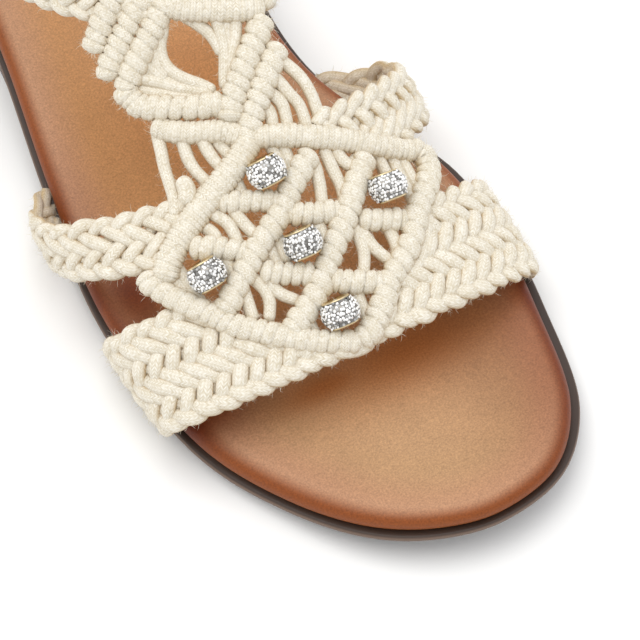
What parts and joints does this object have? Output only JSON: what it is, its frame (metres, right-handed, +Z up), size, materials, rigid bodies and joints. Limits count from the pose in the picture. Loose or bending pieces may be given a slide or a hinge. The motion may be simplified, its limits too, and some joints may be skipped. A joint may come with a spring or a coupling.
{
  "type": "sandal",
  "caption": "Right sandal with a dark rubber outsole, padded tan leather footbed and knotted cream cotton cord upper with stone-set barrel beads and an ankle strap.",
  "frame": {"origin": "on the ground under the middle of the shoe's box", "axes": "+Y runs from toe to heel, +Z up, +X towards the inner side of the foot"},
  "size_m": [0.0978, 0.2534, 0.0696],
  "materials": {
    "dark_brown_rubber": "moulded, satin",
    "tan_leather": "smooth grain, burnished at the rolled edge",
    "cream_cotton_cord": "twisted cotton, knotted and braided",
    "stone_set_metal": "polished metal closely set with small clear stones"
  },
  "bodies": {
    "root": {"outsole": "dark_brown_rubber", "footbed": "tan_leather", "upper": "cream_cotton_cord", "bead_1": "stone_set_metal", "bead_2": "stone_set_metal", "bead_3": "stone_set_metal", "bead_4": "stone_set_metal", "bead_5": "stone_set_metal"}
  },
  "joints": []
}
